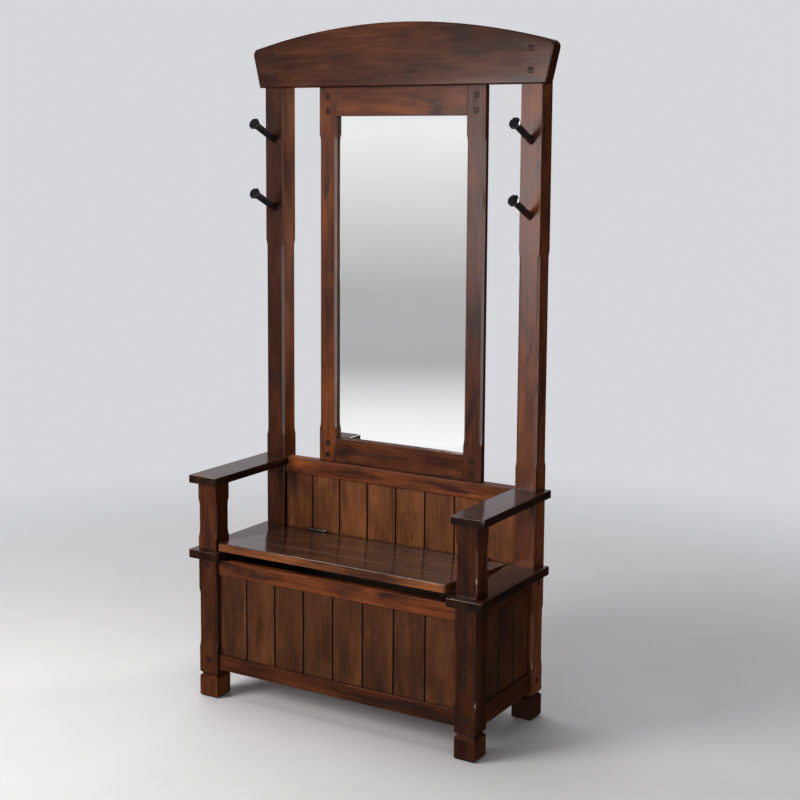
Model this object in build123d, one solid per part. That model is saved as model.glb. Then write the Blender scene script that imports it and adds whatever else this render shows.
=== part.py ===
from build123d import *
from math import sqrt
import os

# Hall tree: storage bench, arms, mirror, four coat hooks and an arched crown.
# Millimetres.  +Z is up, the front faces -Y, and the origin is the centre of the floor outline.
# Shapes with a left and a right copy are drawn on the right (+X) and mirrored.

# ---------------------------------------------------------------- main sizes
WIDTH = 965.0            # outside of one post to the outside of the other
DEPTH = 421.0            # front of the front legs to the back of the rear posts
POST = 67.0              # every post, leg and foot is this square
FRONT_OVERHANG = 20.0    # seat boards stand this far in front of the legs
FOOT_HEIGHT = 72.0
SEAT_TOP = 466.0
ARM_TOP = 696.0
CROWN_BOTTOM = 1871.0
CROWN_TOP = 2058.0

X_OUT = WIDTH / 2
X_IN = X_OUT - POST
Y_FRONT = -(DEPTH - FRONT_OVERHANG) / 2
Y_BACK = Y_FRONT + DEPTH
Y_LEG_BACK = Y_FRONT + POST
Y_POST = Y_BACK - POST
POST_MIDDLE = X_OUT - POST / 2

# ---------------------------------------------------------------- posts and feet
JOINT_CHAMFER = 8.0      # the two chamfers that meet in a V where a leg stands on its foot
FLOOR_CHAMFER = 6.0
EDGE_EASE = 1.5          # small chamfer on the long edges of posts and rails
STOP_CHAMFER = 7.0       # stopped chamfer along the middle of each post edge
STOP_RUN = 28.0          # length of its curved run-out
LEG_CHAMFER_SPAN = (155.0, 345.0)
POST_CHAMFER_SPAN = (760.0, 1398.0)
ARM_POST_CHAMFER_SPAN = (502.0, 626.0)
STILE_CHAMFER_SPAN = (800.0, 1729.0)
STUB_TENON = 30.0        # square stub that pins an arm post through the seat shelf
STUB_DEPTH = 7.0
ARM_STUB_DEPTH = 12.0
POST_LAP_TOP = 1990.0    # rear half of each post runs up behind the crown to here

# ---------------------------------------------------------------- arms and seat shelves
BOARD_CLIP = 4.0         # clipped front corners
BOARD_ROUND = 2.5
SHELF_THICKNESS = 26.0
SHELF_INNER = 395.0
SHELF_OUTER = 506.5
ARM_THICKNESS = 24.0
ARM_INNER = 404.0
ARM_OUTER = 508.5
ARM_OVERHANG = 14.0
WING_END = Y_BACK - 16.0  # boards pass the rear posts and stop just short of their backs

# ---------------------------------------------------------------- rails and planks
RAIL_RECESS = 10.0
RAIL_THICKNESS = 22.0
FRONT_RAIL_HEIGHT = 48.0
BOTTOM_RAIL_Z = 91.0
SIDE_RAIL_Z = (85.0, 146.0)
TENON_LENGTH = 25.0
TENON_THICKNESS = 10.0
TENON_SHOULDER = 8.0
PLANK_RECESS = 16.0
PLANK_THICKNESS = 12.0
PLANK_TONGUE = 8.0       # planks stand this deep in the grooves of the rails
PLANK_GAP = 0.4
PLANK_VEE = 2.6
FRONT_PLANK_COUNT = 8
SIDE_PLANK_COUNT = 3
RAIL_BEAD = 2.5

SHELF_UNDERSIDE = SEAT_TOP - SHELF_THICKNESS
BACK_FACE = Y_POST + 12.0            # face of the back planks and of the hinge rail
BACK_RAIL_FRONT = Y_POST + 5.0
BACK_RAIL_THICKNESS = 42.0
BACK_RAIL_HEIGHT = 49.0
HINGE_RAIL_HEIGHT = 70.0

# ---------------------------------------------------------------- storage box
FLOOR_THICKNESS = 12.0
CLEAT = 20.0
CLEAT_HALF_LENGTH = 400.0
BOX_BACK_THICKNESS = 6.0
BOX_BACK_INSET = 8.0

# ---------------------------------------------------------------- crown
CROWN_FRONT = Y_POST - 11.5
CROWN_THICKNESS = 45.5
CROWN_HALF_BOTTOM = 496.0
CROWN_HALF_TOP = 523.5
CROWN_SHOULDER = 1987.0
CROWN_CORNER = 20.0
CROWN_ROUND = 4.0

# ---------------------------------------------------------------- mirror
MIRROR_FRONT = Y_POST + 22.0
MIRROR_FRAME_THICKNESS = 22.0
MIRROR_HALF_OUTER = 291.0
MIRROR_HALF_SIGHT = 229.0
MIRROR_SIGHT_BOTTOM = 774.0
MIRROR_SIGHT_TOP = 1783.0
MIRROR_TENON_LENGTH = 35.0
MIRROR_TENON_THICKNESS = 8.0
REBATE_WIDTH = 7.0
GLASS_RECESS = 15.0
GLASS_THICKNESS = 4.0

# ---------------------------------------------------------------- pegs
PEG = 16.0
PEG_DEPTH = 15.0
PEG_PROUD = 1.0
PEG_BEVEL = 0.9
CROWN_PEG_Z = (1908.0, 1970.0)
MIRROR_PEG_X = 260.0
MIRROR_PEG_Z = (718.0, 756.0, 1798.0, 1842.0)
LEG_PEG_Z = (118.0, 418.0)

# ---------------------------------------------------------------- coat hooks
HOOK_Z = (1497.0, 1711.0)
HOOK_TILT = 24.5         # degrees above level
HOOK_WIDTH = 20.0        # across the flats of the eight-sided shaft
HOOK_SUNK = 24.0
HOOK_SHAFT = 100.0
HOOK_HEAD_WIDTH = 34.0
HOOK_FLARE = 12.0
HOOK_RIM = 6.0
HOOK_RIM_CHAMFER = 2.5

# ---------------------------------------------------------------- lid and hinges
LID_AJAR = 5.3           # degrees the lid stands open in the stored pose
LID_THICKNESS = 25.0
LID_HALF_WIDTH = 392.0
LID_FRONT = Y_FRONT - FRONT_OVERHANG + 1.0
LID_JOINTS = (112.0, 193.0, 270.0)   # board joints, measured back from the front edge
LID_JOINT_VEE = 0.8
BACK_GAP = 3.0           # lid to hinge rail
BATTEN_X = 250.0
BATTEN_WIDTH = 45.0
BATTEN_THICKNESS = 18.0
BATTEN_SETBACK = (65.0, 25.0)        # from the front and the rear edge of the lid
BATTEN_SCREWS = 4
HINGE_X = 292.0
HINGE_LENGTH = 70.0
KNUCKLE_COUNT = 5
KNUCKLE_GAP = 0.5
BARREL_RADIUS = 4.0
BARREL_CLEARANCE = 0.5
PIN_RADIUS = 2.0
PIN_CLEARANCE = 0.05
PIN_HEAD_RADIUS = 2.9
PIN_HEAD_LENGTH = 2.0
LEAF_THICKNESS = 2.0
LEAF_DEPTH = 24.0
SCREW_HEAD_RADIUS = 3.4
SCREW_SHANK_RADIUS = 1.6
SCREW_LENGTH = 16.0

LID_REAR = BACK_FACE - BACK_GAP
HINGE_Y = BACK_FACE - BARREL_RADIUS - BARREL_CLEARANCE
HINGE_Z = SEAT_TOP + BARREL_RADIUS + BARREL_CLEARANCE
CUT = 40.0               # spare size on cutters


# ---------------------------------------------------------------- helpers
def block(x, y, z):
    """Box between two limits on each axis."""
    middle = [(low + high) / 2 for low, high in (x, y, z)]
    return Pos(*middle) * Box(x[1] - x[0], y[1] - y[0], z[1] - z[0])


def left_of(shape):
    return mirror(shape, about=Plane.YZ)


def stop_chamfer_cutter(x, y, inward, span):
    """Cutter for one stopped chamfer on the vertical edge at (x, y)."""
    depth = STOP_CHAMFER / sqrt(2)
    across = Vector(inward[0], inward[1], 0).normalized()
    plane = Plane(origin=(x, y, 0), x_dir=across, z_dir=across.cross(Vector(0, 0, 1)))
    low, high = span
    outline = [
        Line((depth, low + STOP_RUN), (depth, high - STOP_RUN)),
        TangentArc((depth, high - STOP_RUN), (0, high), tangent=(0, 1)),
        Polyline((0, high), (-CUT, high), (-CUT, low), (0, low)),
        TangentArc((depth, low + STOP_RUN), (0, low), tangent=(0, -1)),
    ]
    return extrude(plane * make_face(outline), amount=CUT, both=True)


def stop_chamfers(shape, x, y, span, sides=(-1, 1)):
    """Stopped chamfers on the vertical edges; sides picks front (-1) and back (1)."""
    for toward_x in (-1, 1):
        for toward_y in sides:
            corner_x = x[0] if toward_x < 0 else x[1]
            corner_y = y[0] if toward_y < 0 else y[1]
            shape -= stop_chamfer_cutter(corner_x, corner_y, (-toward_x, -toward_y), span)
    return shape


def eased(shape, axis, size=EDGE_EASE):
    return chamfer(shape.edges().filter_by(axis), size)


def bottom_edges(shape):
    return shape.faces().sort_by(Axis.Z)[0].edges()


def top_edges(shape):
    return shape.faces().sort_by(Axis.Z)[-1].edges()


# ---------------------------------------------------------------- posts
RIGHT_POST_X = (X_IN, X_OUT)


def square_post(y, z, bottom_chamfer):
    """Right-hand square post with eased long edges and a chamfered lower end."""
    square = block(RIGHT_POST_X, y, z)
    return eased(square, Axis.Z) & chamfer(bottom_edges(square), bottom_chamfer)


def foot(y):
    shape = square_post(y, (0, FOOT_HEIGHT), FLOOR_CHAMFER)
    square = block(RIGHT_POST_X, y, (0, FOOT_HEIGHT))
    return shape & chamfer(top_edges(square), JOINT_CHAMFER)


def front_leg():
    y = (Y_FRONT, Y_LEG_BACK)
    shape = square_post(y, (FOOT_HEIGHT, SHELF_UNDERSIDE), JOINT_CHAMFER)
    return stop_chamfers(shape, RIGHT_POST_X, y, LEG_CHAMFER_SPAN)


def rear_post():
    y = (Y_POST, Y_BACK)
    shape = square_post(y, (FOOT_HEIGHT, POST_LAP_TOP), JOINT_CHAMFER)
    for span in (LEG_CHAMFER_SPAN, POST_CHAMFER_SPAN):
        shape = stop_chamfers(shape, RIGHT_POST_X, y, span)
    lap = block(
        (X_IN - CUT, X_OUT + CUT),
        (Y_POST - CUT, CROWN_FRONT + CROWN_THICKNESS),
        (CROWN_BOTTOM, POST_LAP_TOP + CUT),
    )
    return shape - lap


def stub(z):
    half = STUB_TENON / 2
    middle = (Y_FRONT + Y_LEG_BACK) / 2
    return block((POST_MIDDLE - half, POST_MIDDLE + half), (middle - half, middle + half), z)


def arm_post():
    y = (Y_FRONT, Y_LEG_BACK)
    shape = eased(block(RIGHT_POST_X, y, (SEAT_TOP, ARM_TOP - ARM_THICKNESS)), Axis.Z)
    shape = stop_chamfers(shape, RIGHT_POST_X, y, ARM_POST_CHAMFER_SPAN)
    shape += stub((SHELF_UNDERSIDE - STUB_DEPTH, SEAT_TOP))
    return shape + stub((ARM_TOP - ARM_THICKNESS, ARM_TOP - ARM_THICKNESS + ARM_STUB_DEPTH))


def winged_board(inner, outer, front, inner_end, z):
    """Board that lies over the front leg and is notched round the rear post."""
    outline = Polygon(
        (inner, front + BOARD_CLIP),
        (inner + BOARD_CLIP, front),
        (outer - BOARD_CLIP, front),
        (outer, front + BOARD_CLIP),
        (outer, WING_END),
        (X_OUT, WING_END),
        (X_OUT, Y_POST),
        (X_IN, Y_POST),
        (X_IN, inner_end),
        (inner, inner_end),
        align=None,
    )
    shape = Pos(0, 0, z[0]) * extrude(outline, amount=z[1] - z[0])
    rims = top_edges(shape) + bottom_edges(shape)
    rounded = [edge for edge in rims if not beside_post(edge.center())]
    return fillet(rounded, BOARD_ROUND)


def beside_post(point):
    return X_IN - 1 < point.X < X_OUT + CUT / 2 and point.Y > Y_POST - 1


# ---------------------------------------------------------------- rails
def rail_along_x(y, z, half_length=X_IN, tenon_length=TENON_LENGTH, tenon=TENON_THICKNESS):
    shape = eased(block((-half_length, half_length), y, z), Axis.X)
    middle = (y[0] + y[1]) / 2
    return shape + block(
        (-half_length - tenon_length, half_length + tenon_length),
        (middle - tenon / 2, middle + tenon / 2),
        (z[0] + TENON_SHOULDER, z[1] - TENON_SHOULDER),
    )


def side_rail(z):
    x = (X_OUT - RAIL_RECESS - RAIL_THICKNESS, X_OUT - RAIL_RECESS)
    shape = eased(block(x, (Y_LEG_BACK, Y_POST), z), Axis.Y)
    middle = (x[0] + x[1]) / 2
    return shape + block(
        (middle - TENON_THICKNESS / 2, middle + TENON_THICKNESS / 2),
        (Y_LEG_BACK - TENON_LENGTH, Y_POST + TENON_LENGTH),
        (z[0] + TENON_SHOULDER, z[1] - TENON_SHOULDER),
    )


# ---------------------------------------------------------------- planks
def plank_row(start, along, length, count, z):
    """Upright V-jointed planks; the face is on the start line, the depth to its left."""
    pitch = length / count
    plane = Plane(origin=(start[0], start[1], z[0]), x_dir=(along[0], along[1], 0), z_dir=(0, 0, 1))
    planks = []
    for index in range(count):
        low = index * pitch + PLANK_GAP / 2
        high = (index + 1) * pitch - PLANK_GAP / 2
        outline = Polygon(
            (low + PLANK_VEE, 0),
            (high - PLANK_VEE, 0),
            (high, PLANK_VEE),
            (high, PLANK_THICKNESS),
            (low, PLANK_THICKNESS),
            (low, PLANK_VEE),
            align=None,
        )
        planks.append(extrude(plane * outline, amount=z[1] - z[0]))
    return planks


def front_plank_row(y, z):
    return plank_row((-X_IN, y), (1, 0), 2 * X_IN, FRONT_PLANK_COUNT, z)


def groove(y, z):
    return block((-X_IN, X_IN), (y, y + PLANK_THICKNESS), z)


# ---------------------------------------------------------------- crown and mirror
def crown():
    right_foot = (CROWN_HALF_BOTTOM, CROWN_BOTTOM)
    right_shoulder = (CROWN_HALF_TOP, CROWN_SHOULDER)
    left_foot = (-CROWN_HALF_BOTTOM, CROWN_BOTTOM)
    left_shoulder = (-CROWN_HALF_TOP, CROWN_SHOULDER)
    outline = [
        Line(left_foot, right_foot),
        Line(right_foot, right_shoulder),
        ThreePointArc(right_shoulder, (0, CROWN_TOP), left_shoulder),
        Line(left_shoulder, left_foot),
    ]
    face = make_face(outline)
    shoulders = face.vertices().group_by(Axis.Y)[-1]
    face = fillet(shoulders, CROWN_CORNER)
    shape = extrude(Plane.XZ * face, amount=CROWN_THICKNESS)
    shape = Pos(0, CROWN_FRONT + CROWN_THICKNESS, 0) * shape
    front = shape.faces().sort_by(Axis.Y)[0].edges()
    return fillet(front, CROWN_ROUND)


def mirror_stile():
    x = (MIRROR_HALF_SIGHT, MIRROR_HALF_OUTER)
    y = (MIRROR_FRONT, MIRROR_FRONT + MIRROR_FRAME_THICKNESS)
    shape = eased(block(x, y, (ARM_TOP, CROWN_BOTTOM)), Axis.Z, EDGE_EASE / 2)
    return stop_chamfers(shape, x, y, STILE_CHAMFER_SPAN, sides=(-1,))


def mirror_rail(z):
    y = (MIRROR_FRONT, MIRROR_FRONT + MIRROR_FRAME_THICKNESS)
    shape = eased(block((-MIRROR_HALF_SIGHT, MIRROR_HALF_SIGHT), y, z), Axis.X, EDGE_EASE / 2)
    half = MIRROR_HALF_SIGHT + MIRROR_TENON_LENGTH
    front = y[0] + TENON_SHOULDER / 2
    tenon_z = (z[0] + 2 * TENON_SHOULDER, z[1] - 2 * TENON_SHOULDER)
    return shape + block((-half, half), (front, front + MIRROR_TENON_THICKNESS), tenon_z)


def behind_sight(y):
    """Sheet a little larger than the mirror's sight opening."""
    half = MIRROR_HALF_SIGHT + REBATE_WIDTH
    z = (MIRROR_SIGHT_BOTTOM - REBATE_WIDTH, MIRROR_SIGHT_TOP + REBATE_WIDTH)
    return block((-half, half), y, z)


# ---------------------------------------------------------------- pegs and hooks
def peg(x, y, z, outward):
    """Square peg, its bevelled end just proud of the face it fills."""
    body = Box(PEG, PEG, PEG_DEPTH + PEG_PROUD, align=(Align.CENTER, Align.CENTER, Align.MAX))
    body = chamfer(top_edges(body), PEG_BEVEL)
    face = Plane(origin=(x, y, z), x_dir=(0, 0, 1), z_dir=outward)
    return face * Pos(0, 0, PEG_PROUD) * body


def both_sides(shapes):
    return shapes + [left_of(shape) for shape in shapes]


def leg_peg_list():
    """Front faces of the front legs, and outer faces of all four legs."""
    legs_middle = (Y_FRONT + Y_LEG_BACK) / 2
    posts_middle = (Y_POST + Y_BACK) / 2
    pegs = []
    for z in LEG_PEG_Z:
        pegs.append(peg(POST_MIDDLE, Y_FRONT, z, (0, -1, 0)))
        pegs.append(peg(X_OUT, legs_middle, z, (1, 0, 0)))
        pegs.append(peg(X_OUT, posts_middle, z, (1, 0, 0)))
    return both_sides(pegs)


def octagon(width, z):
    """Eight-sided outline, measured across its flats."""
    return Pos(0, 0, z) * RegularPolygon(width / 2, 8, major_radius=False, rotation=22.5)


def coat_hook(z):
    """Straight eight-sided hook that flares to a flat head with a chamfered rim."""
    rim = HOOK_SHAFT + HOOK_FLARE
    shaft = extrude(octagon(HOOK_WIDTH, -HOOK_SUNK), amount=HOOK_SUNK + HOOK_SHAFT)
    flare = loft([octagon(HOOK_WIDTH, HOOK_SHAFT), octagon(HOOK_HEAD_WIDTH, rim)])
    head = extrude(octagon(HOOK_HEAD_WIDTH, rim), amount=HOOK_RIM)
    head = chamfer(top_edges(head), HOOK_RIM_CHAMFER)
    return Pos(POST_MIDDLE, Y_POST, z) * Rot(90 - HOOK_TILT, 0, 0) * (shaft + flare + head)


# ---------------------------------------------------------------- lid
def lid_boards():
    edges = [LID_FRONT] + [LID_FRONT + joint for joint in LID_JOINTS] + [LID_REAR]
    boards = []
    for front, rear in zip(edges, edges[1:]):
        x = (-LID_HALF_WIDTH, LID_HALF_WIDTH)
        board = block(x, (front, rear), (SEAT_TOP - LID_THICKNESS, SEAT_TOP))
        joint_edges = top_edges(board).filter_by(Axis.X)
        if front == LID_FRONT:
            board = chamfer(board.edges().filter_by(Axis.Z).group_by(Axis.Y)[0], BOARD_CLIP)
            nose = board.faces().sort_by(Axis.Y)[0]
            board = fillet(nose.edges().filter_by(Axis.X), BOARD_ROUND)
        else:
            board = chamfer(joint_edges.sort_by(Axis.Y)[0], LID_JOINT_VEE)
        boards.append(board)
    return boards


def lid_batten(x):
    underside = SEAT_TOP - LID_THICKNESS
    shape = block(
        (x - BATTEN_WIDTH / 2, x + BATTEN_WIDTH / 2),
        (LID_FRONT + BATTEN_SETBACK[0], LID_REAR - BATTEN_SETBACK[1]),
        (underside - BATTEN_THICKNESS, underside),
    )
    return chamfer(bottom_edges(shape), EDGE_EASE)


def screw(x, y, z, outward, length=SCREW_LENGTH):
    """Countersunk screw with its head flush in the face at (x, y, z)."""
    head_height = SCREW_HEAD_RADIUS - SCREW_SHANK_RADIUS
    outline = Polygon(
        (0, 0),
        (SCREW_HEAD_RADIUS, 0),
        (SCREW_SHANK_RADIUS, -head_height),
        (SCREW_SHANK_RADIUS, -length + SCREW_SHANK_RADIUS),
        (0, -length),
        align=None,
    )
    shape = revolve(Plane.XZ * outline, Axis.Z)
    across = (0, 1, 0) if outward[2] else (1, 0, 0)
    return Plane(origin=(x, y, z), x_dir=across, z_dir=outward) * shape


def batten_screw_list():
    low = LID_FRONT + BATTEN_SETBACK[0] + BATTEN_WIDTH
    high = LID_REAR - BATTEN_SETBACK[1] - BATTEN_WIDTH
    underside = SEAT_TOP - LID_THICKNESS - BATTEN_THICKNESS
    step = (high - low) / (BATTEN_SCREWS - 1)
    length = BATTEN_THICKNESS + LID_THICKNESS / 2
    return [
        screw(side * BATTEN_X, low + index * step, underside, (0, 0, -1), length)
        for side in (-1, 1)
        for index in range(BATTEN_SCREWS)
    ]


# ---------------------------------------------------------------- hinges
def cylinder_along_x(x, radius):
    length = x[1] - x[0]
    return Pos((x[0] + x[1]) / 2, HINGE_Y, HINGE_Z) * Rot(0, 90, 0) * Cylinder(radius, length)


def hinge_leaf(y, first, bore):
    """Leaf plate with every second knuckle, starting at knuckle number first."""
    left = HINGE_X - HINGE_LENGTH / 2
    pitch = HINGE_LENGTH / KNUCKLE_COUNT
    shape = block((left, left + HINGE_LENGTH), y, (SEAT_TOP - LEAF_DEPTH, SEAT_TOP))
    for index in range(first, KNUCKLE_COUNT, 2):
        x = (left + index * pitch + KNUCKLE_GAP / 2, left + (index + 1) * pitch - KNUCKLE_GAP / 2)
        tab_y = (y[0], min(y[1], HINGE_Y + BARREL_RADIUS))
        shape += block(x, tab_y, (SEAT_TOP, HINGE_Z))
        shape += cylinder_along_x(x, BARREL_RADIUS)
        shape -= cylinder_along_x(x, bore)
    return shape


def hinge_pin():
    low = HINGE_X - HINGE_LENGTH / 2
    high = HINGE_X + HINGE_LENGTH / 2
    shape = cylinder_along_x((low - PIN_HEAD_LENGTH, high + PIN_HEAD_LENGTH), PIN_RADIUS)
    shape += cylinder_along_x((low - PIN_HEAD_LENGTH, low), PIN_HEAD_RADIUS)
    return shape + cylinder_along_x((high, high + PIN_HEAD_LENGTH), PIN_HEAD_RADIUS)


def hinge_screw_list(y, outward):
    """Three screws in a leaf of the right hinge."""
    z = SEAT_TOP - LEAF_DEPTH / 2
    step = HINGE_LENGTH / 3
    return [screw(HINGE_X + index * step, y, z, outward) for index in (-1, 0, 1)]


# ---------------------------------------------------------------- assembly
def cut_all(shape, cutters):
    for cutter in cutters:
        shape -= cutter
    return shape


def build_frame():
    """Everything that stands still, as a dictionary of node names."""
    front_y = (Y_FRONT + RAIL_RECESS, Y_FRONT + RAIL_RECESS + RAIL_THICKNESS)
    low_z = (BOTTOM_RAIL_Z, BOTTOM_RAIL_Z + FRONT_RAIL_HEIGHT)
    high_z = (SHELF_UNDERSIDE - FRONT_RAIL_HEIGHT, SHELF_UNDERSIDE)
    panel_z = (low_z[1] - PLANK_TONGUE, high_z[0] + PLANK_TONGUE)
    face_y = Y_FRONT + PLANK_RECESS
    back_y = (BACK_FACE, BACK_FACE + RAIL_THICKNESS)
    hinge_rail_z = (SEAT_TOP - HINGE_RAIL_HEIGHT, SEAT_TOP)
    back_rail_y = (BACK_RAIL_FRONT, BACK_RAIL_FRONT + BACK_RAIL_THICKNESS)
    back_rail_z = (ARM_TOP - BACK_RAIL_HEIGHT, ARM_TOP)
    back_plank_z = (SEAT_TOP, back_rail_z[0] + PLANK_TONGUE)

    # Rails and panels.
    front_groove = groove(face_y, panel_z)
    front_top_rail = rail_along_x(front_y, high_z) - front_groove
    front_bottom_rail = rail_along_x(front_y, low_z) - front_groove
    back_top_rail = rail_along_x(back_rail_y, back_rail_z) - groove(BACK_FACE, back_plank_z)
    box_back = block(
        (-X_IN, X_IN),
        (BACK_FACE + BOX_BACK_INSET, BACK_FACE + BOX_BACK_INSET + BOX_BACK_THICKNESS),
        (low_z[1] - PLANK_TONGUE, hinge_rail_z[0] + PLANK_TONGUE),
    )
    hinge_rail = rail_along_x(back_y, hinge_rail_z) - box_back
    back_bottom_rail = rail_along_x(back_y, low_z) - box_back

    side_panel_z = (SIDE_RAIL_Z[1] - PLANK_TONGUE, high_z[0] + PLANK_TONGUE)
    side_length = Y_POST - Y_LEG_BACK
    side_face = X_OUT - PLANK_RECESS
    side_planks = plank_row(
        (side_face, Y_LEG_BACK), (0, 1), side_length, SIDE_PLANK_COUNT, side_panel_z
    )
    side_groove = block((side_face - PLANK_THICKNESS, side_face), (Y_LEG_BACK, Y_POST), side_panel_z)
    side_top_rail = side_rail(high_z) - side_groove
    side_bottom_rail = side_rail(SIDE_RAIL_Z) - side_groove

    # Floor of the box, notched round the legs, on two cleats.
    floor_z = (low_z[0] + CLEAT, low_z[0] + CLEAT + FLOOR_THICKNESS)
    floor_x = X_OUT - RAIL_RECESS - RAIL_THICKNESS
    box_floor = block((-floor_x, floor_x), (front_y[1], BACK_FACE), floor_z)
    notches = [
        block((X_IN, X_OUT), (Y_FRONT, Y_LEG_BACK), floor_z),
        block((X_IN, X_OUT), (Y_POST, Y_BACK), floor_z),
    ]
    box_floor = cut_all(box_floor, both_sides(notches))
    cleat_x = (-CLEAT_HALF_LENGTH, CLEAT_HALF_LENGTH)
    cleat_z = (low_z[0], low_z[0] + CLEAT)
    floor_cleats = [
        block(cleat_x, (front_y[1], front_y[1] + CLEAT), cleat_z),
        block(cleat_x, (BACK_FACE - CLEAT, BACK_FACE), cleat_z),
    ]

    # Mirror.
    rebate = behind_sight((MIRROR_FRONT + GLASS_RECESS, MIRROR_FRONT + MIRROR_FRAME_THICKNESS))
    glass_back = MIRROR_FRONT + GLASS_RECESS + GLASS_THICKNESS
    mirror_glass = behind_sight((MIRROR_FRONT + GLASS_RECESS, glass_back))
    mirror_backing = behind_sight((glass_back, MIRROR_FRONT + MIRROR_FRAME_THICKNESS))
    mirror_top_rail = mirror_rail((MIRROR_SIGHT_TOP, CROWN_BOTTOM)) - rebate
    mirror_bottom_rail = mirror_rail((ARM_TOP, MIRROR_SIGHT_BOTTOM)) - rebate

    # Pegs and hooks.
    crown_pegs = both_sides([peg(POST_MIDDLE, CROWN_FRONT, z, (0, -1, 0)) for z in CROWN_PEG_Z])
    mirror_pegs = both_sides([peg(MIRROR_PEG_X, MIRROR_FRONT, z, (0, -1, 0)) for z in MIRROR_PEG_Z])
    leg_pegs = leg_peg_list()
    hooks = [coat_hook(z) for z in HOOK_Z]

    mirror_top_rail = cut_all(mirror_top_rail, mirror_pegs)
    mirror_bottom_rail = cut_all(mirror_bottom_rail, mirror_pegs)

    # Right-hand pieces with the sockets for whatever enters them.
    post = cut_all(
        rear_post(),
        [side_top_rail, side_bottom_rail, back_top_rail, hinge_rail, back_bottom_rail]
        + hooks
        + leg_pegs,
    )
    leg = cut_all(
        front_leg(),
        [side_top_rail, side_bottom_rail, front_top_rail, front_bottom_rail, arm_post()] + leg_pegs,
    )
    shelf_z = (SHELF_UNDERSIDE, SEAT_TOP)
    arm_z = (ARM_TOP - ARM_THICKNESS, ARM_TOP)
    shelf_front = Y_FRONT - FRONT_OVERHANG
    arm_front = Y_FRONT - ARM_OVERHANG
    shelf = winged_board(SHELF_INNER, SHELF_OUTER, shelf_front, BACK_FACE, shelf_z) - arm_post()
    arm = winged_board(ARM_INNER, ARM_OUTER, arm_front, BACK_RAIL_FRONT, arm_z) - arm_post()
    stile = cut_all(mirror_stile() - rebate, [mirror_top_rail, mirror_bottom_rail] + mirror_pegs)

    # Frame leaf of each hinge, its pin and its screws.
    leaf_y = (BACK_FACE - LEAF_THICKNESS, BACK_FACE)
    frame_screws = hinge_screw_list(leaf_y[0], (0, -1, 0))
    frame_leaf = cut_all(hinge_leaf(leaf_y, 0, PIN_RADIUS), frame_screws)
    hinge_rail = cut_all(hinge_rail, both_sides(frame_screws))

    paired = {
        "foot_front": foot((Y_FRONT, Y_LEG_BACK)),
        "foot_rear": foot((Y_POST, Y_BACK)),
        "leg_front": leg,
        "post_rear": post,
        "arm_post": arm_post(),
        "armrest": arm,
        "seat_shelf": shelf,
        "side_top_rail": side_top_rail,
        "side_bottom_rail": side_bottom_rail,
        "side_planks": side_planks,
        "mirror_stile": stile,
        "hook_lower": hooks[0],
        "hook_upper": hooks[1],
        "hinge_frame_leaf": frame_leaf,
        "hinge_pin": hinge_pin(),
    }
    single = {
        "front_top_rail": front_top_rail,
        "front_bottom_rail": front_bottom_rail,
        "front_planks": front_plank_row(face_y, panel_z),
        "back_top_rail": back_top_rail,
        "back_planks": front_plank_row(BACK_FACE, back_plank_z),
        "hinge_rail": hinge_rail,
        "back_bottom_rail": back_bottom_rail,
        "box_back_panel": box_back,
        "box_floor": box_floor,
        "floor_cleats": floor_cleats,
        "crown": cut_all(crown(), crown_pegs),
        "mirror_top_rail": mirror_top_rail,
        "mirror_bottom_rail": mirror_bottom_rail,
        "mirror_glass": mirror_glass,
        "mirror_backing": mirror_backing,
        "crown_pegs": crown_pegs,
        "mirror_pegs": mirror_pegs,
        "leg_pegs": leg_pegs,
        "hinge_frame_screws": both_sides(frame_screws),
    }
    return paired, single


def build_lid():
    """Everything that swings, still closed."""
    leaf_y = (LID_REAR - LEAF_THICKNESS, LID_REAR)
    lid_screws = hinge_screw_list(leaf_y[1], (0, 1, 0))
    leaf = cut_all(hinge_leaf(leaf_y, 1, PIN_RADIUS + PIN_CLEARANCE), lid_screws)
    batten_screws = batten_screw_list()
    boards = lid_boards()
    half = HINGE_LENGTH / 2
    leaf_recess = block((HINGE_X - half, HINGE_X + half), leaf_y, (SEAT_TOP - LEAF_DEPTH, SEAT_TOP))
    boards[-1] = cut_all(boards[-1], both_sides([leaf_recess] + lid_screws))
    boards = [cut_all(board, batten_screws) for board in boards]

    paired = {
        "lid_batten": cut_all(lid_batten(BATTEN_X), batten_screws),
        "hinge_lid_leaf": leaf,
    }
    single = {f"lid_board_{index + 1}": board for index, board in enumerate(boards)}
    single["lid_batten_screws"] = batten_screws
    single["hinge_lid_screws"] = both_sides(lid_screws)
    return paired, single


def as_node(shapes, name, place):
    """One solid, or a compound of separate solids, under its node name."""
    solids = [place * solid for shape in shapes for solid in shape.solids()]
    node = solids[0] if len(solids) == 1 else Compound(children=solids)
    node.label = name
    return node


def as_list(shape):
    return shape if isinstance(shape, list) else [shape]


def left_and_right(paired, single, place):
    nodes = {name: as_list(shape) for name, shape in single.items()}
    for name, shape in paired.items():
        nodes[f"{name}_right"] = as_list(shape)
        nodes[f"{name}_left"] = [left_of(item) for item in as_list(shape)]
    return {name: as_node(shapes, name, place) for name, shapes in nodes.items()}


lid_swing = Pos(0, HINGE_Y, HINGE_Z) * Rot(-LID_AJAR, 0, 0) * Pos(0, -HINGE_Y, -HINGE_Z)
frame_nodes = left_and_right(*build_frame(), Pos(0, 0, 0))
lid_nodes = left_and_right(*build_lid(), lid_swing)

os.makedirs("parts", exist_ok=True)
for name, node in {**frame_nodes, **lid_nodes}.items():
    export_step(node, f"parts/{name}.step")
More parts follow.
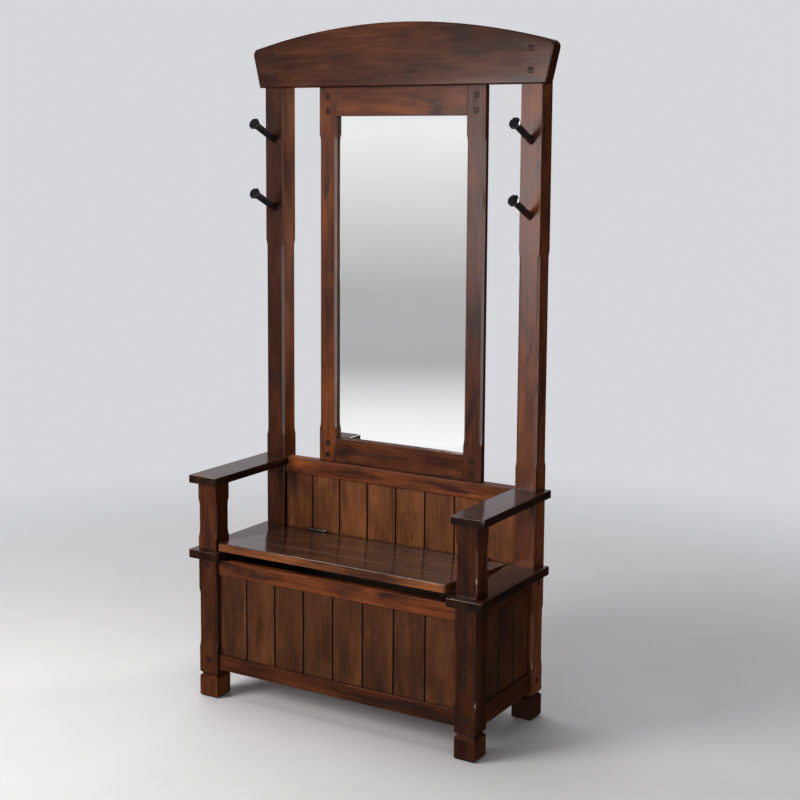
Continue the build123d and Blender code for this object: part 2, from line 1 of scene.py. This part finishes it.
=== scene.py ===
import bpy
import math
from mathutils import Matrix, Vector

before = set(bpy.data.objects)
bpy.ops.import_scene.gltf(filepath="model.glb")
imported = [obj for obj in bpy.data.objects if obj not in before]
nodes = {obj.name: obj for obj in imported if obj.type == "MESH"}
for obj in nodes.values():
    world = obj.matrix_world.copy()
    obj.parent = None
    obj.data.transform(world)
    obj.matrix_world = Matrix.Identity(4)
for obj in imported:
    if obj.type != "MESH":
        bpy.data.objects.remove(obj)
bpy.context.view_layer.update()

# Metres.  +Z is up and the hall tree faces -Y.  Colours are linear RGB.
X, Y, Z = 0, 1, 2

# ---------------------------------------------------------------- finishes
DEEP_STAIN = (0.034, 0.0098, 0.0048)
RED_STAIN = (0.092, 0.0242, 0.0074)
AMBER_STAIN = (0.172, 0.0465, 0.0108)
SMEAR_STAIN = (0.021, 0.0098, 0.0078)
PLANK_DEEP = (0.034, 0.0120, 0.0052)
PLANK_BROWN = (0.080, 0.0265, 0.0088)
PLANK_PALE = (0.122, 0.0430, 0.0140)
LID_DEEP = (0.024, 0.0090, 0.0055)
LID_BROWN = (0.062, 0.0230, 0.0105)
LID_PALE = (0.110, 0.0420, 0.0170)
ARM_DEEP = (0.018, 0.0075, 0.0050)
ARM_DARK = (0.042, 0.0160, 0.0085)
ARM_MID = (0.085, 0.0330, 0.0140)
# Near-black of grime, dark joints and glazed edges, and also of the painted shade in corners.
GRIME_AND_SHADE = (0.0100, 0.0050, 0.0038)
# Light orange of edges rubbed through the stain, which also paints highlights along edges.
RUBBED_AND_HIGHLIGHT = (0.300, 0.1150, 0.0330)
PEG_STAIN = (0.0085, 0.0062, 0.0065)
VENEER_BROWN = (0.110, 0.0560, 0.0270)
PALE = (0.67, 0.675, 0.71)

# Lacquer: its weight and its roughness.
SATIN = (0.12, 0.24)
BRIGHT = (0.20, 0.32)
PLANK_LACQUER = (0.15, 0.30)
BATTEN_LACQUER = (0.10, 0.24)
ARM_LACQUER = (0.70, 0.12)
LID_LACQUER = (0.80, 0.10)
# The weight alone, on chamfers and softened edges.
CHAMFER_LACQUER = 0.26
# Faces that do not look up or down: a tint and the weight of their lacquer.
ARM_SIDES = ((0.45, 0.42, 0.42), 0.12)
LID_SIDES = ((2.6, 2.2, 1.5), 0.15)
# Where the dark smears begin and where they are full, as levels of a noise.
SMEARS = (0.54, 0.68)
PLANK_SMEARS = (0.60, 0.72)
# How much darker or lighter single fibres and whole boards come out.
FIBRE_SHADES = (0.74, 1.16)
BOARD_SHADES = (0.84, 1.16)
# Step through the noise from one board to the next.
BOARD_STEP = 37.0
# How far grime and painted shade reach out of a corner, and wear in from an edge.
DIRT_AND_SHADE_REACH = 0.014
WEAR_REACH = 0.0030
WOOD_ROUGHNESS = 0.38
LID_ROUGHNESS = 0.36
WOOD_SPECULAR = 0.03

# Width of the softened edges of each kind of piece.
FRAME_EDGE = 0.0016
ARM_EDGE = 0.0014
LID_EDGE = 0.0007
PLANK_EDGE = 0.0005
THIN_EDGE = 0.0004
PEG_EDGE = 0.0002
SHARP = 0.0
EDGE_SEGMENTS = 3
JOIN_REACH = 1e-5
SMOOTH_BELOW = math.radians(24)
SOFTEN_ABOVE = math.radians(28)

# ---------------------------------------------------------------- which finish each node gets
# Stained wood: how the nodes' names start, the axis of the grain, how light the stain came out, the lacquer.
# The lightness levels were matched part by part, so besides the stain they hold painted light and shade of
# each part.
STAINED = (
    (("crown",), X, 0.56, SATIN),
    (("mirror_bottom_rail", "mirror_top_rail"), X, 0.98, SATIN),
    (("mirror_stile_left",), Z, 0.92, SATIN),
    (("mirror_stile_right",), Z, 0.95, SATIN),
    (("back_bottom_rail", "back_top_rail"), X, 1.50, SATIN),
    (("hinge_rail", "front_top_rail"), X, 1.35, SATIN),
    (("front_bottom_rail",), X, 0.75, SATIN),
    (("side_bottom_rail", "side_top_rail", "floor_cleats"), Y, 0.65, SATIN),
    (("post_rear_left",), Z, 0.42, SATIN),
    (("post_rear_right",), Z, 1.30, BRIGHT),
    (("arm_post",), Z, 0.66, SATIN),
    (("leg_front_left",), Z, 0.58, SATIN),
    (("leg_front_right",), Z, 0.38, SATIN),
    (("foot_front_left",), Z, 0.90, SATIN),
    (("foot_front_right", "foot_rear"), Z, 0.55, SATIN),
)
# Planks: how the nodes' names start, and how light the stain came out. These levels hold painted light and
# shade of each part as well as its stain.
PLANKS = (("front_planks", 0.88), ("back_planks", 1.95), ("side_planks", 0.78))
ARM_BOARDS = ("armrest", "seat_shelf")
BATTENS = ("lid_batten_left", "lid_batten_right")
PEGS = ("crown_pegs", "mirror_pegs", "leg_pegs")
THIN_BOARDS = ("mirror_backing", "box_back_panel", "box_floor")
STEEL_PARTS = ("hinge_frame", "hinge_lid", "hinge_pin", "lid_batten_screws")

# ---------------------------------------------------------------- studio
WHITE = (1.0, 1.0, 1.0)
WARM = (1.0, 0.97, 0.93)
CREAM = (1.0, 0.93, 0.84)
ROSE = (1.0, 0.91, 0.92)
COOL = (0.94, 0.97, 1.0)
# Each light: its name, place, target, width and height, power and colour, and its spread if it is narrow.
LAMPS = (
    ("key", (-2.2, -3.1, 2.2), (0.0, 0.0, 1.1), (1.8, 1.8), 143.0, WARM),
    ("fill", (2.6, -2.4, 2.4), (0.0, 0.0, 1.0), (1.6, 1.6), 9.0, WHITE),
    ("sky", (-0.4, 0.0, 4.6), (0.0, 0.0, 0.0), (3.0, 3.0), 74.0, WHITE),
    ("back", (0.45, 1.6, 1.5), (-0.42, 0.38, 1.4), (0.4, 1.4), 11.0, CREAM, math.radians(50)),
)
SOFTBOXES = (
    ("front", (-1.45, -4.3, 1.45), (0.4, 0.2, 1.5), (1.15, 1.3), 190.0, ROSE),
    ("ridge", (-1.8, 0.30, 3.5), (0.0, 0.0, 0.7), (1.6, 1.0), 130.0, COOL),
    ("strip", (3.3, -1.9, 1.2), (0.4, 0.0, 1.2), (1.0, 2.4), 120.0, WHITE),
    ("glint", (2.9, -0.5, 3.2), (0.3, 0.2, 1.6), (0.8, 0.8), 45.0, WHITE),
)
# The room that shows in reflections, as pairs: how far a direction rises, plus a half, and its colour.
ROOM_FRONT = (
    (0.15, (0.42, 0.42, 0.43)), (0.215, (0.05, 0.04, 0.035)), (0.270, (0.02, 0.013, 0.010)),
    (0.295, (1.0, 1.0, 1.0)), (0.318, (0.86, 0.86, 0.86)), (0.350, (0.44, 0.44, 0.45)),
    (0.40, (0.46, 0.46, 0.46)), (0.51, (0.88, 0.88, 0.88)), (0.62, (0.50, 0.50, 0.52)),
    (1.00, (0.07, 0.07, 0.07)),
)
ROOM_BACK = (
    (0.40, (0.05, 0.035, 0.03)), (0.54, (0.40, 0.39, 0.41)), (0.75, (0.66, 0.62, 0.66)),
    (1.00, (0.60, 0.60, 0.62)),
)
DARK_CORNER = (0.05, 0.045, 0.045)
FLOOR_RADIUS = 6.0
FLOOR_FADE = (1.1, 3.6)
BACKDROP_RADIUS = 30.0

CAMERA_PLACE = (2.298, -3.613, 1.700)
CAMERA_YAW = 0.545
CAMERA_PITCH = -0.124
CAMERA_ROLL = -0.0064
LENS = 65.83
SENSOR_WIDTH = 36.0
LENS_SHIFT = -0.0925


# ---------------------------------------------------------------- node graphs
class Graph:
    """A node tree, built one node at a time.  A value is a constant or another node's socket."""

    def __init__(self, tree):
        self.tree = tree
        tree.nodes.clear()

    def add(self, kind, values=(), **settings):
        node = self.tree.nodes.new(kind)
        for name, value in settings.items():
            setattr(node, name, value)
        for key, value in dict(values).items():
            self.put(node.inputs[key], value)
        return node

    def put(self, socket, value):
        if isinstance(value, bpy.types.NodeSocket):
            self.tree.links.new(value, socket)
        else:
            socket.default_value = value

    def sum(self, a, b):
        return self.add("ShaderNodeMath", {0: a, 1: b}, operation="ADD").outputs[0]

    def product(self, a, b):
        return self.add("ShaderNodeMath", {0: a, 1: b}, operation="MULTIPLY").outputs[0]

    def larger(self, a, b):
        return self.add("ShaderNodeMath", {0: a, 1: b}, operation="MAXIMUM").outputs[0]

    def shifted(self, vector, amount):
        return self.add("ShaderNodeVectorMath", {0: vector, 1: amount}, operation="ADD").outputs[0]

    def multiplied(self, colour, level):
        """colour times one level in all three channels."""
        tint = self.add("ShaderNodeCombineColor", {0: level, 1: level, 2: level}).outputs[0]
        return self.blend(1.0, colour, tint, "MULTIPLY")

    def scaled(self, vector, factors):
        node = self.add("ShaderNodeVectorMath", {0: vector, 1: factors}, operation="MULTIPLY")
        return node.outputs[0]

    def noise(self, vector, scale, detail=3.0, roughness=0.55, distortion=0.0):
        values = {
            "Vector": vector,
            "Scale": scale,
            "Detail": detail,
            "Roughness": roughness,
            "Distortion": distortion,
        }
        return self.add("ShaderNodeTexNoise", values).outputs[0]

    def between(self, value, low, high, start=0.0, end=1.0):
        """value mapped smoothly from low..high to start..end."""
        values = {"Value": value, "From Min": low, "From Max": high, "To Min": start, "To Max": end}
        node = self.add("ShaderNodeMapRange", values, interpolation_type="SMOOTHSTEP")
        return node.outputs[0]

    def ramp(self, value, stops):
        node = self.add("ShaderNodeValToRGB", {0: value})
        elements = node.color_ramp.elements
        while len(elements) < len(stops):
            elements.new(0.5)
        for element, (position, colour) in zip(elements, stops):
            element.position = position
            element.color = (*colour, 1.0)
        return node.outputs[0]

    def blend(self, factor, a, b, kind="MIX"):
        node = self.add("ShaderNodeMix", data_type="RGBA", blend_type=kind)
        self.put(node.inputs[0], factor)
        for socket, value in ((node.inputs[6], a), (node.inputs[7], b)):
            self.put(socket, value if isinstance(value, bpy.types.NodeSocket) else (*value, 1.0))
        return node.outputs[2]

    def arris(self, radius):
        """1 within about radius of an edge, 0 on the flat."""
        rounded = self.add("ShaderNodeBevel", {"Radius": radius}, samples=4).outputs[0]
        flat = self.add("ShaderNodeNewGeometry").outputs["Normal"]
        turned = self.add("ShaderNodeVectorMath", {0: rounded, 1: flat}, operation="DOT_PRODUCT")
        return self.between(turned.outputs["Value"], 0.90, 0.995, 1.0, 0.0)

    def bump(self, height, strength, distance, normal=None):
        values = {"Height": height, "Strength": strength, "Distance": distance}
        if normal:
            values["Normal"] = normal
        return self.add("ShaderNodeBump", values).outputs[0]


def new_material(name):
    material = bpy.data.materials.new(name)
    material.use_nodes = True
    return material, Graph(material.node_tree)


def finish_surface(graph, values):
    shader = graph.add("ShaderNodeBsdfPrincipled", values)
    output = graph.add("ShaderNodeOutputMaterial")
    graph.put(output.inputs["Surface"], shader.outputs[0])


# ---------------------------------------------------------------- wood
class Grain:
    """Noise drawn out along the grain of one board, with its own place in the noise for each board."""

    def __init__(self, graph, along):
        self.graph = graph
        self.along = along
        place = graph.add("ShaderNodeTexCoord").outputs["Object"]
        piece = graph.add("ShaderNodeObjectInfo").outputs["Random"]
        solid = graph.add("ShaderNodeNewGeometry").outputs["Random Per Island"]
        self.own = graph.add("ShaderNodeMath", {0: graph.sum(piece, solid)}, operation="FRACT").outputs[0]
        self.place = graph.shifted(place, graph.product(self.own, BOARD_STEP))

    def stretched(self, stretch):
        factors = [1.0, 1.0, 1.0]
        factors[self.along] = 1.0 / stretch
        return self.graph.scaled(self.place, tuple(factors))

    def noise(self, stretch, scale, *shape):
        return self.graph.noise(self.stretched(stretch), scale, *shape)


def stained_colour(graph, grain, tones, blotch, fibre, smear):
    """Blotchy stain with streaks and figure, dark smears over it, and light and dark fibres."""
    streak = grain.noise(12.0, 75.0, 4.0, 0.6, 0.2)
    figure = grain.noise(45.0, 230.0, 3.0, 0.6)
    stain = graph.sum(graph.product(blotch, 0.60), graph.product(streak, 0.24))
    stain = graph.sum(stain, graph.product(figure, 0.16))
    colour = graph.ramp(stain, ((0.37, tones[0]), (0.50, tones[1]), (0.63, tones[2])))
    smears = grain.noise(5.5, 19.0, 4.0, 0.55, 0.8)
    smears = graph.product(graph.between(smears, *smear), 0.85)
    colour = graph.blend(smears, colour, SMEAR_STAIN)
    return graph.multiplied(colour, graph.between(fibre, 0.30, 0.70, *FIBRE_SHADES))


def worm_specks(graph, grain):
    """1 in a few small scattered holes, 0 elsewhere."""
    cells = graph.add("ShaderNodeTexVoronoi", {"Vector": grain.stretched(2.0), "Scale": 46.0})
    centre = graph.between(cells.outputs["Distance"], 0.05, 0.10, 1.0, 0.0)
    rare = graph.add("ShaderNodeSeparateColor", {0: cells.outputs["Color"]}).outputs[0]
    return graph.product(centre, graph.between(rare, 0.90, 0.92))


def aged(graph, grain, colour):
    """Grime and painted shade in the corners, edges lined with grime and rubbed through in places, with the
    rubbed spots also painting highlights, and small nicks.
    """
    # Grime and painted shade: the colour darkens where ambient occlusion finds a corner or a recess.
    nooks = graph.add("ShaderNodeAmbientOcclusion", {"Distance": DIRT_AND_SHADE_REACH}, samples=4)
    dirt_and_shade = graph.between(nooks.outputs["AO"], 0.30, 0.85, 0.85, 0.0)
    colour = graph.blend(dirt_and_shade, colour, GRIME_AND_SHADE)
    edge = graph.arris(WEAR_REACH)
    rubbed = grain.noise(2.0, 30.0, 4.0, 0.7)
    lined = graph.between(rubbed, 0.38, 0.56, 0.92, 0.40)
    colour = graph.blend(graph.product(edge, lined), colour, GRIME_AND_SHADE)
    # Rubbed-through spots on the edges, also a painted highlight there.
    colour = graph.blend(graph.product(edge, graph.between(rubbed, 0.60, 0.68)), colour, RUBBED_AND_HIGHLIGHT)
    nick = graph.between(grain.noise(9.0, 130.0, 2.0), 0.70, 0.74)
    return graph.blend(graph.product(nick, 0.7), colour, GRIME_AND_SHADE)


def by_facing(graph, colour, coat, sides, grooved):
    """Colour and lacquer as they change with the way a face looks."""
    facing = graph.add("ShaderNodeTexCoord").outputs["Normal"]
    facing = graph.add("ShaderNodeVectorMath", {0: facing}, operation="ABSOLUTE").outputs[0]
    facing = graph.add("ShaderNodeSeparateXYZ", {0: facing}).outputs
    if sides:
        tint, side_coat = sides
        level = graph.between(facing[Z], 0.12, 0.45)
        colour = graph.blend(level, graph.blend(1.0, colour, tint, "MULTIPLY"), colour)
        coat = graph.between(level, 0.0, 1.0, side_coat, coat)
    squarest = graph.larger(graph.larger(facing[X], facing[Y]), facing[Z])
    square = graph.between(squarest, 0.80, 0.96)
    if grooved:
        return graph.blend(square, GRIME_AND_SHADE, colour), graph.product(square, coat)
    return colour, graph.between(square, 0.0, 1.0, CHAMFER_LACQUER, coat)


def wood(name, along, tones, lacquer, light=1.0, smear=SMEARS, roughness=WOOD_ROUGHNESS, sides=None,
         grooved=False):
    """Stained and lacquered wood with its grain along one axis.

    sides is a tint and a lacquer weight for the faces that do not look up or down.  Slanting faces, such
    as chamfers and softened edges, have a weight of their own.  On grooved planks they are dark instead.
    """
    material, graph = new_material(name)
    grain = Grain(graph, along)
    coat, gloss = lacquer
    # light scales the stain of the part, and with it the painted light and shade matched into that part.
    tones = [tuple(light * c for c in tone) for tone in tones]
    blotch = grain.noise(3.0, 13.0, 4.0, 0.55, 0.5)
    fibre = grain.noise(40.0, 420.0, 5.0, 0.65)
    specks = worm_specks(graph, grain)

    colour = stained_colour(graph, grain, tones, blotch, fibre, smear)
    colour = graph.blend(graph.product(specks, 0.75), colour, SMEAR_STAIN)
    colour = graph.multiplied(colour, graph.between(grain.own, 0.0, 1.0, *BOARD_SHADES))
    colour = aged(graph, grain, colour)
    colour, coat = by_facing(graph, colour, coat, sides, grooved)

    normal = graph.bump(grain.noise(2.5, 26.0, 2.0), 0.16, 0.0016)
    normal = graph.bump(fibre, 0.22, 0.00025, normal)
    normal = graph.bump(specks, -0.5, 0.0005, normal)
    finish_surface(graph, {
        "Base Color": colour,
        "Roughness": graph.between(blotch, 0.3, 0.7, roughness - 0.06, roughness + 0.08),
        "Normal": normal,
        "Coat Normal": normal,
        "Specular IOR Level": WOOD_SPECULAR,
        "Coat Weight": coat,
        "Coat Roughness": gloss,
    })
    return material


def peg_wood():
    """Square pegs: end grain that took the stain almost black."""
    material, graph = new_material("peg_end_grain")
    place = graph.add("ShaderNodeTexCoord").outputs["Object"]
    pores = graph.noise(place, 900.0, 3.0)
    patches = graph.noise(place, 90.0, 3.0)
    colour = graph.ramp(patches, ((0.35, PEG_STAIN), (0.70, DEEP_STAIN)))
    finish_surface(graph, {
        "Base Color": colour,
        "Roughness": graph.between(patches, 0.3, 0.7, 0.34, 0.5),
        "Normal": graph.bump(pores, 0.5, 0.0003),
        "Specular IOR Level": 0.06,
        "Coat Weight": 0.05,
        "Coat Roughness": 0.25,
    })
    return material


def thin_board():
    """Stained thin board: the backing of the mirror, and the back and the floor of the box."""
    material, graph = new_material("thin_board")
    place = graph.add("ShaderNodeTexCoord").outputs["Object"]
    veneer = graph.noise(graph.scaled(place, (1.0, 1.0, 0.05)), 120.0, 5.0, 0.65)
    colour = graph.ramp(veneer, ((0.3, PLANK_BROWN), (0.7, VENEER_BROWN)))
    finish_surface(graph, {
        "Base Color": colour,
        "Roughness": graph.between(veneer, 0.3, 0.7, 0.5, 0.65),
        "Normal": graph.bump(veneer, 0.2, 0.0002),
    })
    return material


# ---------------------------------------------------------------- metal and glass
def black_iron():
    """Cast coat hooks in glossy black, slightly uneven."""
    material, graph = new_material("black_iron_gloss")
    place = graph.add("ShaderNodeTexCoord").outputs["Object"]
    cast = graph.noise(place, 160.0, 4.0, 0.6)
    fine = graph.noise(place, 900.0, 2.0)
    colour = graph.ramp(cast, ((0.35, (0.003, 0.003, 0.004)), (0.7, (0.010, 0.010, 0.012))))
    normal = graph.bump(cast, 0.45, 0.0010)
    finish_surface(graph, {
        "Base Color": colour,
        "Roughness": graph.between(fine, 0.3, 0.7, 0.12, 0.20),
        "Normal": graph.bump(fine, 0.1, 0.0001, normal),
        "Coat Weight": 0.9,
        "Coat Normal": normal,
        "Coat Roughness": 0.05,
    })
    return material


def hinge_steel():
    """Bronzed steel with brighter patches."""
    material, graph = new_material("hinge_bronzed_steel")
    place = graph.add("ShaderNodeTexCoord").outputs["Object"]
    rub = graph.noise(place, 240.0, 4.0, 0.6)
    brushed = graph.noise(graph.scaled(place, (0.03, 1.0, 1.0)), 1600.0, 2.0)
    colour = graph.ramp(rub, ((0.40, (0.035, 0.028, 0.023)), (0.68, (0.15, 0.12, 0.10))))
    finish_surface(graph, {
        "Base Color": colour,
        "Metallic": 0.9,
        "Roughness": graph.between(brushed, 0.3, 0.7, 0.30, 0.46),
        "Normal": graph.bump(brushed, 0.15, 0.0001),
    })
    return material


def mirror_glass():
    """Silvered glass with the faintest haze of dust."""
    material, graph = new_material("silvered_glass")
    place = graph.add("ShaderNodeTexCoord").outputs["Object"]
    haze = graph.noise(place, 6.0, 4.0)
    finish_surface(graph, {
        "Base Color": graph.ramp(haze, ((0.3, (0.93, 0.94, 0.94)), (0.7, (0.96, 0.965, 0.965)))),
        "Metallic": 1.0,
        "Roughness": graph.between(haze, 0.3, 0.8, 0.004, 0.016),
    })
    return material


# ---------------------------------------------------------------- meshes of the frame's nodes
def edge_softener():
    """Modifier tree: joins the faces of each solid and shades smoothly across slight angles."""
    tree = bpy.data.node_groups.new("joined_solids", "GeometryNodeTree")
    tree.interface.new_socket("Geometry", in_out="INPUT", socket_type="NodeSocketGeometry")
    tree.interface.new_socket("Geometry", in_out="OUTPUT", socket_type="NodeSocketGeometry")
    graph = Graph(tree)
    start = graph.add("NodeGroupInput").outputs[0]
    plain = graph.add("GeometryNodeRemoveAttribute", {0: start, "Name": "custom_normal"})
    merged = graph.add("GeometryNodeMergeByDistance", {0: plain.outputs[0], "Distance": JOIN_REACH})
    faces = graph.add("GeometryNodeSetShadeSmooth", {0: merged.outputs[0], "Shade Smooth": True})
    angle = graph.add("GeometryNodeInputMeshEdgeAngle").outputs[0]
    slight = graph.add("FunctionNodeCompare", {0: angle, 1: SMOOTH_BELOW}, operation="LESS_THAN")
    edges = graph.add(
        "GeometryNodeSetShadeSmooth",
        {0: faces.outputs[0], "Shade Smooth": slight.outputs[0]},
        domain="EDGE",
    )
    output = graph.add("NodeGroupOutput")
    graph.put(output.inputs[0], edges.outputs[0])
    return tree


def soften(node, tree, width):
    joined = node.modifiers.new("joined", "NODES")
    joined.node_group = tree
    bevel = node.modifiers.new("softened_edges", "BEVEL")
    bevel.width = width
    bevel.segments = EDGE_SEGMENTS
    bevel.limit_method = "ANGLE"
    bevel.angle_limit = SOFTEN_ABOVE
    bevel.harden_normals = True


def dress(material, names, tree, width):
    """Gives a finish to every node whose name starts with one of the names.

    Its edges are softened too, unless the width is zero.
    """
    for name, node in nodes.items():
        if name.startswith(tuple(names)):
            node.material_slots[0].material = material
            if width:
                soften(node, tree, width)


def dress_all():
    tree = edge_softener()
    stain = (DEEP_STAIN, RED_STAIN, AMBER_STAIN)
    brown = (PLANK_DEEP, PLANK_BROWN, PLANK_PALE)
    for names, along, light, lacquer in STAINED:
        dress(wood("stained_" + names[0], along, stain, lacquer, light), names, tree, FRAME_EDGE)
    for name, light in PLANKS:
        plank = wood("stained_" + name, Z, brown, PLANK_LACQUER, light, PLANK_SMEARS, grooved=True)
        dress(plank, (name,), tree, PLANK_EDGE)
    arm = wood("arm_wood", Y, (ARM_DEEP, ARM_DARK, ARM_MID), ARM_LACQUER, sides=ARM_SIDES)
    dress(arm, ARM_BOARDS, tree, ARM_EDGE)
    lid_tones = (LID_DEEP, LID_BROWN, LID_PALE)
    lid = wood("lid_wood", X, lid_tones, LID_LACQUER, roughness=LID_ROUGHNESS, sides=LID_SIDES)
    dress(lid, ("lid_board",), tree, LID_EDGE)
    dress(wood("batten_wood", Y, brown, BATTEN_LACQUER), BATTENS, tree, LID_EDGE)
    dress(peg_wood(), PEGS, tree, PEG_EDGE)
    dress(thin_board(), THIN_BOARDS, tree, THIN_EDGE)
    dress(black_iron(), ("hook_",), tree, THIN_EDGE)
    dress(hinge_steel(), STEEL_PARTS, tree, SHARP)
    dress(mirror_glass(), ("mirror_glass",), tree, SHARP)


# ---------------------------------------------------------------- lights and surroundings
def soft_light(name, place, target, size, power, colour, spread=math.pi):
    lamp = bpy.data.lights.new(name, "AREA")
    lamp.shape = "RECTANGLE"
    lamp.size, lamp.size_y = size
    lamp.energy = power
    lamp.color = colour
    lamp.spread = spread
    light = bpy.data.objects.new(name, lamp)
    bpy.context.collection.objects.link(light)
    light.location = place
    light.rotation_euler = (Vector(target) - Vector(place)).to_track_quat("-Z", "Y").to_euler()
    light.visible_camera = False
    return light


def lights():
    """Lamps that only light the surfaces, then softboxes that only show as reflections."""
    for lamp in LAMPS:
        soft_light(*lamp).visible_glossy = False
    for softbox in SOFTBOXES:
        soft_light(*softbox).visible_diffuse = False


def surroundings():
    """What the lacquer and the mirror reflect: a pale room with a dark strip low in front and a dark
    corner behind on the right.
    """
    world = bpy.data.worlds.new("room")
    world.use_nodes = True
    bpy.context.scene.world = world
    graph = Graph(world.node_tree)
    way = graph.add("ShaderNodeTexCoord").outputs["Generated"]
    split = graph.add("ShaderNodeSeparateXYZ", {0: way}).outputs
    height = graph.add("ShaderNodeMapRange", {
        "Value": split[Z], "From Min": -0.5, "From Max": 0.5, "To Min": 0.0, "To Max": 1.0,
    }).outputs[0]
    left = graph.between(split[X], -0.45, 0.35, 1.0, 0.0)
    behind = graph.between(split[Y], -0.2, 0.3)
    back = graph.blend(left, DARK_CORNER, graph.ramp(height, ROOM_BACK))
    colour = graph.blend(behind, graph.ramp(height, ROOM_FRONT), back)
    background = graph.add("ShaderNodeBackground", {"Color": colour, "Strength": 1.0})
    output = graph.add("ShaderNodeOutputWorld")
    graph.put(output.inputs["Surface"], background.outputs[0])


def disc(name, radius, height, count=96):
    points = [
        (radius * math.cos(math.tau * i / count), radius * math.sin(math.tau * i / count), height)
        for i in range(count)
    ]
    mesh = bpy.data.meshes.new(name)
    mesh.from_pydata(points, [], [tuple(range(count))])
    shape = bpy.data.objects.new(name, mesh)
    bpy.context.collection.objects.link(shape)
    return shape


def floor():
    """Pale floor that melts into the backdrop."""
    shape = disc("floor", FLOOR_RADIUS, 0.0)
    material, graph = new_material("pale_floor")
    place = graph.add("ShaderNodeTexCoord").outputs["Object"]
    reach = graph.add("ShaderNodeVectorMath", {0: place}, operation="LENGTH").outputs["Value"]
    mottle = graph.noise(place, 3.0, 4.0)
    colour = graph.ramp(mottle, ((0.3, (0.72, 0.72, 0.73)), (0.7, (0.75, 0.75, 0.76))))
    solid = graph.add("ShaderNodeBsdfPrincipled", {"Base Color": colour, "Roughness": 0.7})
    clear = graph.add("ShaderNodeBsdfTransparent")
    fade = graph.between(reach, *FLOOR_FADE)
    mixed = graph.add("ShaderNodeMixShader", {0: fade, 1: solid.outputs[0], 2: clear.outputs[0]})
    output = graph.add("ShaderNodeOutputMaterial")
    graph.put(output.inputs["Surface"], mixed.outputs[0])
    shape.data.materials.append(material)
    shape.visible_glossy = False


def backdrop():
    """Pale shell all round that only the camera sees: it lights nothing and shows in no reflection."""
    bpy.ops.mesh.primitive_uv_sphere_add(segments=48, ring_count=24, radius=BACKDROP_RADIUS)
    shell = bpy.context.object
    shell.name = "backdrop"
    material, graph = new_material("pale_backdrop")
    glow = graph.add("ShaderNodeEmission", {"Color": (*PALE, 1.0), "Strength": 1.0})
    output = graph.add("ShaderNodeOutputMaterial")
    graph.put(output.inputs["Surface"], glow.outputs[0])
    shell.data.materials.append(material)
    shell.visible_diffuse = False
    shell.visible_glossy = False
    shell.visible_transmission = False
    shell.visible_shadow = False


def camera():
    data = bpy.data.cameras.new("camera")
    shape = bpy.data.objects.new("camera", data)
    bpy.context.collection.objects.link(shape)
    bpy.context.scene.camera = shape
    data.sensor_width = SENSOR_WIDTH
    data.lens = LENS
    data.shift_y = LENS_SHIFT
    shape.location = CAMERA_PLACE
    shape.rotation_euler = (math.pi / 2 + CAMERA_PITCH, CAMERA_ROLL, CAMERA_YAW)


dress_all()
lights()
surroundings()
floor()
backdrop()
camera()
bpy.context.scene.view_settings.view_transform = "Standard"
